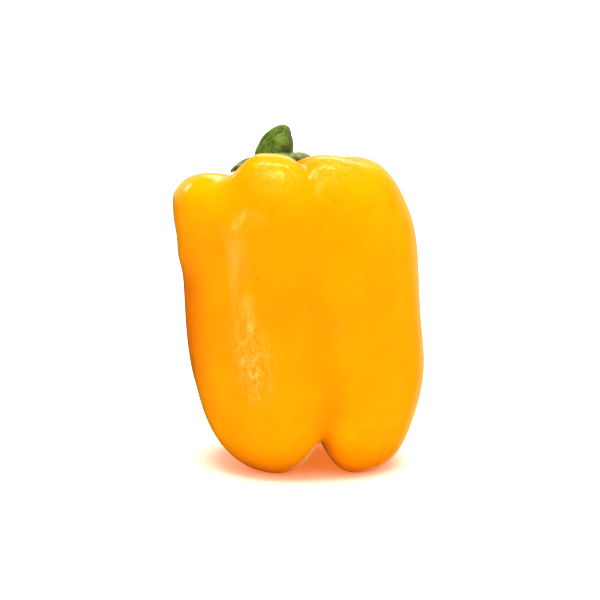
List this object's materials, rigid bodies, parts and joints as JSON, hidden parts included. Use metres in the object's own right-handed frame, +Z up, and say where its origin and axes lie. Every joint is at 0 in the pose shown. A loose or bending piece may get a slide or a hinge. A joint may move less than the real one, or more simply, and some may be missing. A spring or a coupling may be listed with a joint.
{
  "type": "bell pepper",
  "caption": "Blocky lobed bell pepper with a glossy yellow-orange skin and a short bent green stem, standing on the tips of its lobes.",
  "frame": {"origin": "middle of the whole pepper's bounding box, on the surface that its lobes stand on", "axes": "+Z up along the pepper's height, -Y towards the picture's viewer, +X to the viewer's right, the way the cut stem bends"},
  "size_m": [0.0848, 0.0786, 0.1153],
  "materials": {
    "fruit_skin": "glossy waxy yellow-orange pepper skin",
    "stem_green": "dull green stem and calyx with a dry brown cut end"
  },
  "bodies": {
    "root": {"fruit": "fruit_skin", "stem": "stem_green"}
  },
  "joints": []
}
